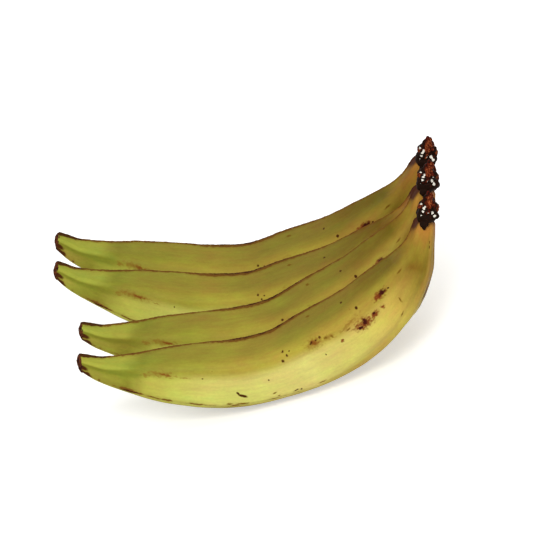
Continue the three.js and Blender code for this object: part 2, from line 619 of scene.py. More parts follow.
    def relief(self, straight: np.ndarray, grain: np.ndarray, radius: np.ndarray) -> np.ndarray:
        """How far the peel swells or dents from its smooth form.

        Args:
            straight: Each point as if the fruit were straight: along, back and up.
            grain: The same points with the fruit's own shift.
            radius: How far each point lies from the middle line.

        Returns:
            The swelling at each point, in millimetres.
        """
        arc = straight[:, 0]
        angle = np.arctan2(straight[:, 2], -straight[:, 1])
        swell = sum(wave.at(grain) for wave in self.waves)
        cork = self.cork_height + self.cork.at(grain)
        for ridge in self.ridges:
            inside = ridge.closeness(arc, angle, radius)
            swell += ridge.proud * cork * eased(inside, *self.cork_edge)
        inside = self.rubbed(arc, angle, radius)
        swell += self.scurf.at(grain) * eased(inside, *self.scurf_edge)
        for dent in self.dents:
            swell -= dent.depth_at(arc, angle)
        return swell + self.furrow.swelling(arc, angle)


# ------------------------------------------------------------------ finishes


@dataclass(frozen=True)
class Mark:
    """A blemish on the peel: a ragged oval.

    Attributes:
        arc: How far its middle lies from the end of the neck, in millimetres along the fruit.
        angle: How far round the fruit it lies, in degrees up from the front.
        length: Half its length, in millimetres.
        width: Half its width, in millimetres.
        lean: How far its length leans from the fruit's own, in degrees.
    """

    arc: float
    angle: float
    length: float
    width: float
    lean: float = 0


@dataclass(frozen=True)
class Stain:
    """How one kind of blemish stains the skin.

    Attributes:
        colour: Its colour.
        cover: How much of the skin's colour it hides, from 0 to 1.
        ragged: How ragged its outline is: it mostly strays less than this many millimetres.
        softness: How far its edge fades to either side, as a share of its size.
        grained: How far it falls apart into grains, as a share of its size.
    """

    colour: str
    cover: float
    ragged: float
    softness: float
    grained: float


class Blemish(Enum):
    """The kinds of blemish on the peel."""

    RUST = Stain("#7a3314", 0.95, 0.35, 0.65, 1.5)
    BRUISE = Stain("#3f120d", 1.0, 0.4, 0.5, 0.7)
    SCAR = Stain("#482408", 1.0, 0.15, 0.3, 0.2)
    SCUFF = Stain("#86591c", 0.6, 0.4, 0.8, 1.8)
    SPECK = Stain("#4a2409", 1.0, 0.3, 0.5, 0.3)
    FLECK = Stain("#74500f", 0.9, 0.25, 0.6, 0.5)


@dataclass(frozen=True)
class Zone:
    """A zone of the skin that runs along the fruit, over the front and the back alike.

    Attributes:
        starts: Where its colours start to show, as the sine of the angle up from the front.
        full: Where they show fully.
        colours: Its colours, each with its place along the fruit in millimetres.
    """

    starts: float
    full: float
    colours: tuple[tuple[float, str], ...]


@dataclass(frozen=True)
class PeelFinish:
    """Banana peel: living skin under a thin bloom of wax, smooth and softly glossy.

    It is green at the tip, yellow on its front and back, olive over the inner bend and amber at
    the neck. The olive over the bend is partly its own and partly painted shade. The tip carries
    painted light on its facet and painted shade in its furrow, and the belly is partly lightened
    as painted light. Its ridges are rubbed brown, and old knocks have left rusty and dark marks
    on it.

    Attributes:
        side_colours: Colours along the front and the back, each with its place in millimetres.
        shoulder: The zone where a side turns over to the inner bend, darker towards the top:
            partly its own colour, partly painted shade.
        bend: The zone over the inner bend: partly its own olive, partly painted shade, darker
            where the upper side gets less light.
        belly: The zone under the belly: partly its own tone, partly painted light that cancels
        the shade where the peel faces down.
        furrow_green_and_shade: The dark green of the furrow at the tip: partly its own green, partly
            painted shade in the furrow.
        facet_lime_and_light: The lime green over it: partly its own green, partly painted light on the
            facet that faces up.
        ridge_colour: The brown of a rubbed ridge.
        knot_colour: The darker brown of its knots.
        collar_colour: The dull brown of the neck's end.
        freckle_colour: The brown of the scattered freckles.
        marks: The blemishes of each kind.
        waxed: The roughness of the living skin.
        corky: The roughness of a rubbed ridge.
        ior: The index of refraction.
        gloss: The strength of the gloss, as the shader's specular level.
        ramp_length: How far along the fruit the colours' ramps reach, in millimetres.
        round_scale: How many millimetres a degree round the fruit is on average.
    """

    side_colours: tuple[tuple[float, str], ...] = (
        (0, "#b87c34"), (7, "#9b812e"), (15, "#866921"), (27, "#cbb34f"),
        (62, "#d9cc76"), (95, "#cfcb68"), (112, "#b9b54c"), (121, "#89822c"), (134, "#a0963b"),
    )
    # The shoulder and the bend darken towards the top: partly the peel's own olive, partly painted
    # shade.
    shoulder: Zone = Zone(0.18, 0.54, (
        (0, "#b27e35"), (8, "#98792d"), (25, "#a88d38"), (45, "#ae963a"), (62, "#b09d3c"),
        (85, "#ac9e3c"), (112, "#958b33"), (121, "#9a9c39"),
    ))
    bend: Zone = Zone(0.56, 0.97, (
        (0, "#8a5c24"), (8, "#9a7728"), (16, "#705b14"), (42, "#87742b"), (62, "#8c7f2f"),
        (85, "#9c8c34"), (110, "#928d32"), (116, "#8a8830"), (121, "#a4a33e"), (134, "#9e9840"),
    ))
    # Under the belly the colours are lightened from the neck to the middle: painted light that cancels
    # the shade where the peel faces down.
    belly: Zone = Zone(-0.62, -0.76, (
        (0, "#b07a3c"), (10, "#a4803a"), (20, "#b0983f"), (30, "#c7ac50"), (60, "#c5b353"),
        (90, "#a08e2d"), (125, "#c0b850"),
    ))
    furrow_green_and_shade: str = "#858429"
    facet_lime_and_light: str = "#a7a83f"
    ridge_colour: str = "#774e1d"
    knot_colour: str = "#44170c"
    collar_colour: str = "#47241a"
    freckle_colour: str = "#75571f"
    marks: dict[Blemish, tuple[Mark, ...]] = field(default_factory=lambda: {
        Blemish.RUST: (
            Mark(27.0, 31.3, 2.2, 1.15),
            Mark(33.1, 14.5, 1.6, 1.0),
            Mark(37.8, 15, 3.2, 1.7, 6),
            Mark(29.6, 12, 0.6, 0.7),
            Mark(55.6, 33, 1.0, 0.7),
            Mark(47.4, 13, 0.5, 0.5),
            Mark(20, -75, 3.4, 0.9),
            Mark(107.8, 27, 1.5, 0.45, 14),
            Mark(66, -76, 2.2, 0.7, 10),
            Mark(44, 158, 2.0, 0.9, -12),
            Mark(88, 152, 1.2, 0.5, 15),
        ),
        Blemish.BRUISE: (
            Mark(25.9, 31.5, 1.2, 0.9),
            Mark(37.4, 17, 0.8, 1.1, 20),
            Mark(39.8, 13, 0.8, 0.5),
            Mark(119.6, -37, 1.9, 0.45),
            Mark(117.2, -36, 0.8, 0.3),
            Mark(33, 16, 0.6, 0.5),
            Mark(20.8, -77, 2.4, 0.8),
            Mark(45.4, 159, 0.8, 0.6, 20),
        ),
        Blemish.SCAR: (
            Mark(135.4, -5, 2.4, 3.4),
            Mark(85.3, -16.5, 0.9, 0.35, 63),
            Mark(84, -22.5, 1.4, 0.55, 30),
            Mark(36.2, 44, 0.55, 0.6),
            Mark(53.3, 36, 0.4, 0.45),
        ),
        Blemish.SCUFF: (
            Mark(109.6, 28, 3.6, 1.0, 10),
            Mark(114.6, 25, 1.0, 1.0, 10),
            Mark(102, 21, 1.2, 0.2, 8),
            Mark(42, 31, 3.8, 0.45, -11),
            Mark(45, 27, 1.0, 0.5),
            Mark(50.5, 29.5, 1.5, 0.7),
            Mark(55.8, 32, 2.4, 1.5),
        ),
        Blemish.FLECK: (
            Mark(16.8, 32, 1.2, 0.4, 5),
            Mark(24.6, -9, 0.3, 1.2, 12),
            Mark(28.1, -31, 1.0, 0.35, -25),
            Mark(43.5, 24, 0.9, 0.3, -12),
            Mark(49.5, 28, 0.4, 0.35),
            Mark(51.5, 31, 0.5, 0.35),
            Mark(60.3, -39, 1.2, 0.25),
            Mark(54.8, 85, 0.7, 0.35, 10),
            Mark(74.5, -29, 0.7, 0.25, -20),
            Mark(73.6, -36, 0.4, 0.25),
            Mark(88.2, -36, 0.9, 0.35),
            Mark(84.6, -37, 1.6, 0.3),
            Mark(92, -155, 0.8, 0.35, -10),
        ),
        Blemish.SPECK: (
            Mark(68.2, 28, 0.5, 0.5),
            Mark(68.4, -35, 0.8, 0.22),
            Mark(66.9, -36, 0.3, 0.25),
            Mark(56.6, 34, 0.6, 0.3, -25),
            Mark(54.9, 35, 0.3, 0.25),
            Mark(67, 43, 0.4, 0.4),
            Mark(66, 34, 0.35, 0.4),
            Mark(64.8, 39, 0.3, 0.3),
            Mark(75, 1, 0.3, 0.4),
            Mark(54.5, 5, 0.25, 0.3),
            Mark(96.2, 20, 0.25, 0.3),
            Mark(41, 74, 0.5, 0.45),
            Mark(23.6, 28, 0.35, 0.35),
            Mark(5.1, -43, 0.5, 0.4),
            Mark(6.6, -44, 0.4, 0.4),
            Mark(58, 150, 0.4, 0.4),
            Mark(71, 163, 0.45, 0.35),
            Mark(74, -156, 0.4, 0.4),
            Mark(97, 147, 0.3, 0.35),
            Mark(39, -88, 0.45, 0.4),
            Mark(52, -150, 0.35, 0.4),
        ),
    })
    waxed: float = 0.44
    corky: float = 0.9
    ior: float = 1.35
    gloss: float = 0.06
    ramp_length: float = 140
    round_scale: float = 0.2

    def material(self) -> bpy.types.Material:
        """Makes the peel's material.

        Returns:
            The material.
        """
        material = bare_material("banana_peel_waxed_skin")
        PeelRecipe(material.node_tree, self).mix()
        return material


class PeelRecipe:
    """Mixes the peel's colour and its fine relief, layer by layer."""

    def __init__(self, tree: bpy.types.NodeTree, finish: PeelFinish) -> None:
        """Reads where each spot lies along the fruit and round it.

        Args:
            tree: The material's node tree.
            finish: The finish that is mixed.
        """
        self.node = partial(add_node, tree)
        self.finish = finish
        self.grain = self.node("ShaderNodeAttribute", attribute_name=GRAIN).outputs["Vector"]
        self.rubbed = self.node("ShaderNodeAttribute", attribute_name=RUBBED).outputs["Fac"]
        spot = self.node("ShaderNodeAttribute", attribute_name=STRAIGHT)
        split = self.node("ShaderNodeSeparateXYZ", {"Vector": spot.outputs["Vector"]})
        self.arc = split.outputs["X"]
        front = self.node("ShaderNodeMath", {0: split.outputs["Y"], 1: -1.0}, operation="MULTIPLY")
        self.turn = self.node("ShaderNodeMath", {
            0: split.outputs["Z"], 1: front}, operation="ARCTAN2")
        self.rise = self.node("ShaderNodeMath", {0: self.turn}, operation="SINE")
        across = self.node("ShaderNodeMath", {
            0: self.turn, 1: math.degrees(finish.round_scale)}, operation="MULTIPLY")
        self.flat = self.node("ShaderNodeCombineXYZ", {"X": self.arc, "Y": across})

    def grown(
        self, size: float, stretch: float = 1, detail: float = 2, spread: float = 1
    ) -> bpy.types.Node:
        """Gives soft noise that has grown with the skin, as far above 0 as below it.

        Args:
            size: How far apart its lumps lie, in millimetres.
            stretch: How many times further apart they lie along the fruit.
            detail: How many finer layers it has.
            spread: How far it can stray to either side. It mostly strays half as far.

        Returns:
            The node that gives it.
        """
        place = self.node("ShaderNodeMapping", {"Vector": self.grain, "Scale": (1 / stretch, 1, 1)})
        cloud = self.node("ShaderNodeTexNoise", {"Vector": place, "Scale": 1 / size, "Detail": detail})
        return self.node("ShaderNodeMath", {
            0: cloud, 1: 2 * spread, 2: -spread}, operation="MULTIPLY_ADD")

    def along(self, colours: Sequence[tuple[float, str]]) -> bpy.types.Node:
        """Gives a colour that changes along the fruit, with borders that don't run straight round.

        Args:
            colours: Each colour with its place in millimetres.

        Returns:
            The node that gives it.
        """
        length = self.finish.ramp_length
        bent = self.node("ShaderNodeMath", {0: self.arc, 1: self.grown(11, spread=5)}, operation="ADD")
        share = self.node("ShaderNodeMath", {0: bent, 1: length}, operation="DIVIDE")
        stops = [(place / length, colour) for place, colour in colours]
        return self.node("ShaderNodeValToRGB", {"Fac": share}, stops)

    def mix(self) -> None:
        """Mixes the peel and ends its tree."""
        colour = self.mottled(self.tipped(self.ground()))
        colour = self.freckled(colour)
        colour = self.ridged(colour)
        for blemish, marks in self.finish.marks.items():
            colour = self.blemished(colour, blemish, marks)
        colour = self.collared(colour)
        roughness = self.node("ShaderNodeMapRange", {
            "Value": self.rubbed, "From Min": -0.5, "From Max": 0.3,
            "To Min": self.finish.waxed, "To Max": self.finish.corky})
        roughness = self.node("ShaderNodeMath", {
            0: roughness, 1: self.grown(2.5, 2, spread=0.12)}, operation="ADD")
        skin = self.node("ShaderNodeBsdfPrincipled", {
            "Base Color": colour, "Roughness": roughness, "Normal": self.pores(),
            "IOR": self.finish.ior, "Specular IOR Level": self.finish.gloss})
        self.node("ShaderNodeOutputMaterial", {"Surface": skin})

    def ground(self) -> bpy.types.Node:
        """Gives the living skin's colour: its sides, and each zone laid over them, with painted shade
        over the bend and painted light under the belly.

        Returns:
            The colour.
        """
        lifted = self.node("ShaderNodeMath", {
            0: self.rise, 1: self.grown(8, 2.5, spread=0.12)}, operation="ADD")
        colour = self.along(self.finish.side_colours)
        for zone in (self.finish.shoulder, self.finish.bend, self.finish.belly):
            share = self.node("ShaderNodeMapRange", {
                "Value": lifted, "From Min": zone.starts, "From Max": zone.full},
                interpolation_type="SMOOTHSTEP")
            colour = self.node("ShaderNodeMix", {
                "Factor": share, "A": colour, "B": self.along(zone.colours)}, data_type="RGBA")
        return colour

    def tipped(self, colour: bpy.types.Node) -> bpy.types.Node:
        """Greens the tapered tip: a lime facet of painted light on its upper side over a dark furrow
        of painted shade.

        Args:
            colour: The colour so far.

        Returns:
            The colour with the green tip.
        """
        edge = self.node("ShaderNodeMapRange", {
            "Value": self.arc, "From Min": 118, "From Max": 128, "To Min": 0.57, "To Max": 0.44})
        above = self.node("ShaderNodeMath", {0: self.rise, 1: edge}, operation="SUBTRACT")
        above = self.node("ShaderNodeMath", {
            0: above, 1: self.grown(5, 3, spread=0.08)}, operation="ADD")
        bent = self.node("ShaderNodeMath", {0: self.arc, 1: self.grown(6, spread=2)}, operation="ADD")
        # The dark green along the furrow is painted shade, over the tip's own green.
        furrowed = self.node("ShaderNodeMapRange", {
            "Value": bent, "From Min": 112, "From Max": 120}, interpolation_type="SMOOTHSTEP")
        deep = self.node("ShaderNodeMapRange", {
            "Value": above, "From Min": -0.62, "From Max": -0.2}, interpolation_type="SMOOTHSTEP")
        thinned = self.node("ShaderNodeMapRange", {
            "Value": above, "From Max": 0.3, "To Min": 1.0, "To Max": 0.5},
            interpolation_type="SMOOTHSTEP")
        furrow = self.node("ShaderNodeMath", {0: furrowed, 1: deep}, operation="MULTIPLY")
        furrow = self.node("ShaderNodeMath", {0: furrow, 1: thinned}, operation="MULTIPLY")
        # The lime facet on the upper side is painted light, lighter where it faces up.
        limed = self.node("ShaderNodeMapRange", {
            "Value": bent, "From Min": 116.2, "From Max": 123.2}, interpolation_type="SMOOTHSTEP")
        high = self.node("ShaderNodeMapRange", {
            "Value": above, "From Min": -0.07, "From Max": 0.1}, interpolation_type="SMOOTHSTEP")
        facet = self.node("ShaderNodeMath", {0: limed, 1: high}, operation="MULTIPLY")
        colour = self.node("ShaderNodeMix", {
            "Factor": furrow, "A": colour,
            "B": linear(self.finish.furrow_green_and_shade)}, data_type="RGBA")
        return self.node("ShaderNodeMix", {
            "Factor": facet, "A": colour, "B": linear(self.finish.facet_lime_and_light)}, data_type="RGBA")

    def mottled(self, colour: bpy.types.Node) -> bpy.types.Node:
        """Varies the skin with greener patches, long faint fibres and a fine grain.

        Args:
            colour: The colour so far.

        Returns:
            The colour with its mottling.
        """
        hue = self.node("ShaderNodeMath", {
            0: self.grown(6, 2.5, spread=0.045), 1: self.grown(1.1, 3, spread=0.02)}, operation="ADD")
        hue = self.node("ShaderNodeMath", {0: hue, 1: 0.5}, operation="ADD")
        value = self.node("ShaderNodeMath", {
            0: self.grown(0.9, 14, spread=0.12), 1: self.grown(4, 2, 3, 0.12)}, operation="ADD")
        value = self.node("ShaderNodeMath", {
            0: value, 1: self.grown(0.6, 1.5, spread=0.1)}, operation="ADD")
        value = self.node("ShaderNodeMath", {0: value, 1: 1.0}, operation="ADD")
        return self.node("ShaderNodeHueSaturation", {"Hue": hue, "Value": value, "Color": colour})

    def freckled(self, colour: bpy.types.Node) -> bpy.types.Node:
        """Scatters a few tiny brown freckles, each in a cell of its own about 3 mm wide.

        Args:
            colour: The colour so far.

        Returns:
            The colour with the freckles.
        """
        cells = self.node("ShaderNodeTexVoronoi", {"Vector": self.grain, "Scale": 1 / 3.2})
        chance = self.node("ShaderNodeSeparateColor", {"Color": cells.outputs["Color"]})
        size = self.node("ShaderNodeMapRange", {
            "Value": chance.outputs["Red"], "From Min": 0.8, "From Max": 1.0, "To Max": 0.09})
        inside = self.node("ShaderNodeMath", {
            0: size, 1: cells.outputs["Distance"]}, operation="SUBTRACT")
        mask = self.node("ShaderNodeMapRange", {
            "Value": inside, "From Min": -0.02, "From Max": 0.04, "To Max": 0.6})
        return self.node("ShaderNodeMix", {
            "Factor": mask, "A": colour, "B": linear(self.finish.freckle_colour)}, data_type="RGBA")

    def ridged(self, colour: bpy.types.Node) -> bpy.types.Node:
        """Rubs the ridges brown, with a fuzzy edge and darker knots, darkest at the tip.

        Args:
            colour: The colour so far.

        Returns:
            The colour with the ridges.
        """
        depth = self.node("ShaderNodeMath", {
            0: self.rubbed, 1: self.grown(0.8, 2.5, 3, 0.55)}, operation="ADD")
        halo = self.node("ShaderNodeMapRange", {
            "Value": depth, "From Min": -0.8, "From Max": 0.3, "To Max": 0.3},
            interpolation_type="SMOOTHSTEP")
        mask = self.node("ShaderNodeMapRange", {
            "Value": depth, "From Min": -0.1, "From Max": 0.25, "To Max": 0.95},
            interpolation_type="SMOOTHSTEP")
        either = self.node("ShaderNodeMath", {0: halo, 1: mask}, operation="MAXIMUM")
        near_tip = self.node("ShaderNodeMapRange", {
            "Value": self.arc, "From Min": 126, "From Max": 130, "To Max": 0.9})
        knots = self.node("ShaderNodeMath", {0: depth, 1: near_tip}, operation="ADD")
        knots = self.node("ShaderNodeMath", {
            0: knots, 1: self.grown(3.5, spread=0.9)}, operation="ADD")
        dark = self.node("ShaderNodeMapRange", {"Value": knots, "From Min": 0.65, "From Max": 1.2})
        brown = self.node("ShaderNodeMix", {
            "Factor": dark, "A": linear(self.finish.ridge_colour),
            "B": linear(self.finish.knot_colour)}, data_type="RGBA")
        return self.node("ShaderNodeMix", {
            "Factor": either, "A": colour, "B": brown}, data_type="RGBA")

    def blemished(
        self, colour: bpy.types.Node, blemish: Blemish, marks: Sequence[Mark]
    ) -> bpy.types.Node:
        """Lays every mark of one kind over the skin.

        Args:
            colour: The colour so far.
            blemish: The kind of blemish.
            marks: Its marks.

        Returns:
            The colour with the marks.
        """
        stain = blemish.value
        wobble = self.node("ShaderNodeTexNoise", {"Vector": self.grain, "Scale": 0.9, "Detail": 3})
        centred = self.node("ShaderNodeVectorMath", {
            0: wobble.outputs["Color"], 1: (0.5, 0.5, 0.5)}, operation="SUBTRACT")
        bent = self.node("ShaderNodeVectorMath", {
            0: centred, 1: (stain.ragged * 3, stain.ragged * 3, 0),
            2: self.flat}, operation="MULTIPLY_ADD")
        nearest = None
        for mark in marks:
            oval = self.node("ShaderNodeMapping", {
                "Vector": bent,
                "Location": (mark.arc, mark.angle * self.finish.round_scale, 0),
                "Rotation": (0, 0, math.radians(mark.lean)),
                "Scale": (mark.length, mark.width, 1),
            }, vector_type="TEXTURE")
            reach = self.node("ShaderNodeVectorMath", {0: oval}, operation="LENGTH")
            nearest = reach if nearest is None else self.node(
                "ShaderNodeMath", {0: nearest, 1: reach}, operation="MINIMUM")
        nearest = self.node("ShaderNodeMath", {
            0: nearest, 1: self.grown(0.7, 1.5, 3, stain.grained)}, operation="ADD")
        mask = self.node("ShaderNodeMapRange", {
            "Value": nearest, "From Min": 1 + stain.softness, "From Max": 1 - stain.softness,
            "To Max": stain.cover}, interpolation_type="SMOOTHSTEP")
        return self.node("ShaderNodeMix", {
            "Factor": mask, "A": colour, "B": linear(stain.colour)}, data_type="RGBA")

    def collared(self, colour: bpy.types.Node) -> bpy.types.Node:
        """Dulls the end of the neck, furthest along its upper side, where it joins the crown.

        Args:
            colour: The colour so far.

        Returns:
            The colour with the collar.
        """
        away = self.node("ShaderNodeMath", {
            0: self.turn, 1: math.radians(110)}, operation="SUBTRACT")
        upper = self.node("ShaderNodeMath", {0: away}, operation="COSINE")
        reach = self.node("ShaderNodeMapRange", {
            "Value": upper, "From Min": 0.1, "From Max": 1.0, "To Min": -1.3, "To Max": 2.9},
            interpolation_type="SMOOTHSTEP")
        reach = self.node("ShaderNodeMath", {
            0: reach, 1: self.grown(1.6, detail=3, spread=1.2)}, operation="ADD")
        inside = self.node("ShaderNodeMath", {0: reach, 1: self.arc}, operation="SUBTRACT")
        mask = self.node("ShaderNodeMapRange", {
            "Value": inside, "From Min": -1.8, "From Max": 1.2, "To Max": 0.95},
            interpolation_type="SMOOTHSTEP")
        return self.node("ShaderNodeMix", {
            "Factor": mask, "A": colour, "B": linear(self.finish.collar_colour)}, data_type="RGBA")

    def pores(self) -> bpy.types.Node:
        """Gives the skin's fine relief: long fibres, pores and the cork of its ridges.

        Returns:
            The relief, as a bump in millimetres.
        """
        height = self.node("ShaderNodeMath", {
            0: self.grown(0.8, 6, spread=0.03),
            1: self.grown(0.35, detail=3, spread=0.03)}, operation="ADD")
        cork = self.node("ShaderNodeMapRange", {
            "Value": self.rubbed, "From Min": -0.4, "From Max": 0.4})
        crust = self.node("ShaderNodeMath", {
            0: cork, 1: self.grown(0.45, detail=3, spread=0.25)}, operation="MULTIPLY")
        height = self.node("ShaderNodeMath", {0: height, 1: crust}, operation="ADD")
        return self.node("ShaderNodeBump", {"Height": height, "Distance": MM, "Strength": 1.0})


@dataclass(frozen=True)
class CrownFinish:
    """Dried banana crown: tissue blackened by its own sap, which dried to a hard gloss.

    It is stained dark red towards its top, and torn red-brown fibres break through it. A few
    small raised spots on it are painted pale as highlights, where glints fall.

    Attributes:
        sap_colour: The black of the dried sap.
        bark_colour: The dark brown patches in it.
        stained_colour: The dark red stain round the fibres.
        torn_colour: The darkest of the torn fibres.
        fibre_colour: The red-brown of most of them.
        frayed_colour: The palest, where they are frayed.
        painted_glint_colour: The pale colour of the painted highlights.
        patch_size: How far apart the patches lie, in millimetres.
        strand_size: How far apart the strands of a fibre lie, in millimetres.
        glazed: The roughness of the sap.
        torn: The roughness of the fibres.
        ior: The index of refraction.
        gloss: The strength of the gloss, as the shader's specular level.
    """

    sap_colour: str = "#100b07"
    bark_colour: str = "#2a170e"
    stained_colour: str = "#5a170c"
    torn_colour: str = "#2a0d07"
    fibre_colour: str = "#702c14"
    frayed_colour: str = "#b5653a"
    painted_glint_colour: str = "#f0ebdd"
    patch_size: float = 0.8
    strand_size: float = 0.3
    glazed: float = 0.6
    torn: float = 0.8
    ior: float = 1.25
    gloss: float = 0.08

    def material(self) -> bpy.types.Material:
        """Makes the crown's material.

        Returns:
            The material.
        """
        material = bare_material("dried_sap_glazed_crown")
        node = partial(add_node, material.node_tree)
        place = node("ShaderNodeTexCoord").outputs["Object"]
        tissue = node("ShaderNodeAttribute", attribute_name=TISSUE)
        split = node("ShaderNodeSeparateXYZ", {"Vector": tissue.outputs["Vector"]})
        patches = node("ShaderNodeTexNoise", {
            "Vector": place, "Scale": 1 / (self.patch_size * MM), "Detail": 4})
        strands = node("ShaderNodeMapping", {"Vector": place, "Scale": (1, 1, 0.3)})
        strands = node("ShaderNodeTexNoise", {
            "Vector": strands, "Scale": 1 / (self.strand_size * MM), "Detail": 3})
        black = node("ShaderNodeMix", {
            "Factor": patches, "A": linear(self.sap_colour),
            "B": linear(self.bark_colour)}, data_type="RGBA")
        higher = node("ShaderNodeMath", {
            0: split.outputs["Y"], 1: 0.04, 2: split.outputs["X"]}, operation="MULTIPLY_ADD")
        stained = node("ShaderNodeMath", {0: patches, 1: 3.0, 2: higher}, operation="MULTIPLY_ADD")
        stained = node("ShaderNodeMapRange", {
            "Value": stained, "From Min": 1.95, "From Max": 2.5, "To Max": 0.85},
            interpolation_type="SMOOTHSTEP")
        colour = node("ShaderNodeMix", {
            "Factor": stained, "A": black, "B": linear(self.stained_colour)}, data_type="RGBA")
        fibrous = node("ShaderNodeMath", {
            0: patches, 1: 2.4, 2: split.outputs["X"]}, operation="MULTIPLY_ADD")
        fibrous = node("ShaderNodeMapRange", {
            "Value": fibrous, "From Min": 1.75, "From Max": 2.05}, interpolation_type="SMOOTHSTEP")
        red = node("ShaderNodeValToRGB", {"Fac": strands}, (
            (0.35, self.torn_colour), (0.5, self.fibre_colour), (0.65, self.frayed_colour)))
        colour = node("ShaderNodeMix", {"Factor": fibrous, "A": colour, "B": red}, data_type="RGBA")
        # Painted highlights: pale spots laid where glints fall on the raised bumps.
        painted_glint_mask = node("ShaderNodeMapRange", {
            "Value": split.outputs["Z"], "From Min": 0.35, "From Max": 0.65},
            interpolation_type="SMOOTHSTEP")
        colour = node("ShaderNodeMix", {
            "Factor": painted_glint_mask, "A": colour, "B": linear(self.painted_glint_colour)}, data_type="RGBA")
        roughness = node("ShaderNodeMapRange", {
            "Value": fibrous, "To Min": self.glazed, "To Max": self.torn})
        relief = node("ShaderNodeMath", {0: strands, 1: fibrous}, operation="MULTIPLY")
        bump = node("ShaderNodeBump", {
            "Height": relief, "Distance": self.strand_size * MM, "Strength": 1.0})
        crown = node("ShaderNodeBsdfPrincipled", {
            "Base Color": colour, "Roughness": roughness, "Normal": bump,
            "IOR": self.ior, "Specular IOR Level": self.gloss})
        node("ShaderNodeOutputMaterial", {"Surface": crown})
        return material


@dataclass(frozen=True)
class DriedFlowerFinish:
    """Dried flower remnant: crumbly and matt, red-brown crumbs with near black between them.

    Attributes:
        crumb_colour: The red-brown of the crumbs.
        hollow_colour: The near black between them.
        crumb_size: How far apart the crumbs lie, in millimetres.
        crumb_height: How far they stand out, in millimetres.
        roughness: How rough they are.
        ior: The index of refraction.
        gloss: The strength of the gloss, as the shader's specular level.
    """

    crumb_colour: str = "#6f3b20"
    hollow_colour: str = "#2d1715"
    crumb_size: float = 0.7
    crumb_height: float = 0.3
    roughness: float = 0.85
    ior: float = 1.35
    gloss: float = 0.06

    def material(self) -> bpy.types.Material:
        """Makes the dried flower's material.

        Returns:
            The material.
        """
        material = bare_material("dried_flower_remnant")
        node = partial(add_node, material.node_tree)
        place = node("ShaderNodeTexCoord").outputs["Object"]
        crumbs = node("ShaderNodeTexNoise", {
            "Vector": place, "Scale": 1 / (self.crumb_size * MM), "Detail": 4})
        colour = node("ShaderNodeValToRGB", {"Fac": crumbs}, (
            (0.4, self.hollow_colour), (0.62, self.crumb_colour)))
        bump = node("ShaderNodeBump", {
            "Height": crumbs, "Distance": self.crumb_height * MM, "Strength": 1.0})
        crust = node("ShaderNodeBsdfPrincipled", {
            "Base Color": colour, "Roughness": self.roughness, "Normal": bump,
            "IOR": self.ior, "Specular IOR Level": self.gloss})
        node("ShaderNodeOutputMaterial", {"Surface": crust})
        return material


@dataclass(frozen=True)
class TableFinish:
    """White melamine board: pale and dead matt, so that the hand's shadow lies softly on it.

    Attributes:
        colour: Its colour.
        roughness: How rough it is.
        gloss: The strength of its gloss, as the shader's specular level.
        lift: How much brighter it is where it is looked at, with 1 as white.
    """

    colour: str = "#f2f2f0"
    roughness: float = 0.9
    gloss: float = 0.1
    lift: float = 0.5

    def material(self) -> bpy.types.Material:
        """Makes the table's material.

        Returns:
            The material.
        """
        material = bare_material("white_melamine_board")
        tree = material.node_tree
        board = add_node(tree, "ShaderNodeBsdfPrincipled", {
            "Base Color": linear(self.colour), "Roughness": self.roughness,
            "Specular IOR Level": self.gloss})
        glow = add_node(tree, "ShaderNodeMath", {
            0: seen_or_mirrored(tree), 1: self.lift}, operation="MULTIPLY")
        lift = add_node(tree, "ShaderNodeEmission", {"Strength": glow})
        both = add_node(tree, "ShaderNodeAddShader", {0: board, 1: lift})
        add_node(tree, "ShaderNodeOutputMaterial", {"Surface": both})
        return material


# ------------------------------------------------------------------ the pieces


def straight_bar(sides: int, rows: int, rings: Sequence[float]) -> bmesh.types.BMesh:
    """Models a closed bar of radius 1, from 0 to 1 along Z, that a piece is bent from.

    Args:
        sides: How many sides it has round its axis.
        rows: How many rows of faces it has along its axis.
        rings: How wide each ring in its two ends is, as falling shares of the radius.

    Returns:
        The bar.
    """
    bar = bmesh.new()
    middle = Matrix.Translation((0, 0, 0.5))
    bmesh.ops.create_cone(
        bar, cap_ends=True, segments=sides, radius1=1, radius2=1, depth=1, matrix=middle)
    lengthwise = [e for e in bar.edges if abs(e.verts[0].co.z - e.verts[1].co.z) > 0.5]
    bmesh.ops.subdivide_edges(bar, edges=lengthwise, cuts=rows - 1, use_grid_fill=True)
    ends = [f for f in bar.faces if len(f.verts) == sides]
    outer = 1.0
    for ring in rings:
        bmesh.ops.inset_individual(bar, faces=ends, thickness=outer - ring)
        outer = ring
    bmesh.ops.poke(bar, faces=ends)
    return bar


def bar_mesh(bar: bmesh.types.BMesh, name: str) -> tuple[bpy.types.Mesh, np.ndarray]:
    """Turns a straight bar into a mesh, and lists its points.

    Args:
        bar: The bar, which is used up.
        name: The mesh's name.

    Returns:
        The mesh, and its points, one a row.
    """
    mesh = bpy.data.meshes.new(name)
    bar.to_mesh(mesh)
    bar.free()
    spots = np.zeros(len(mesh.vertices) * 3)
    mesh.vertices.foreach_get("co", spots)
    return mesh, spots.reshape(-1, 3)


def round_the_axis(spots: np.ndarray) -> tuple[np.ndarray, np.ndarray]:
    """Each point's distance from the Z axis, and its angle round it in radians."""
    return np.hypot(spots[:, 0], spots[:, 1]), np.arctan2(spots[:, 1], spots[:, 0])


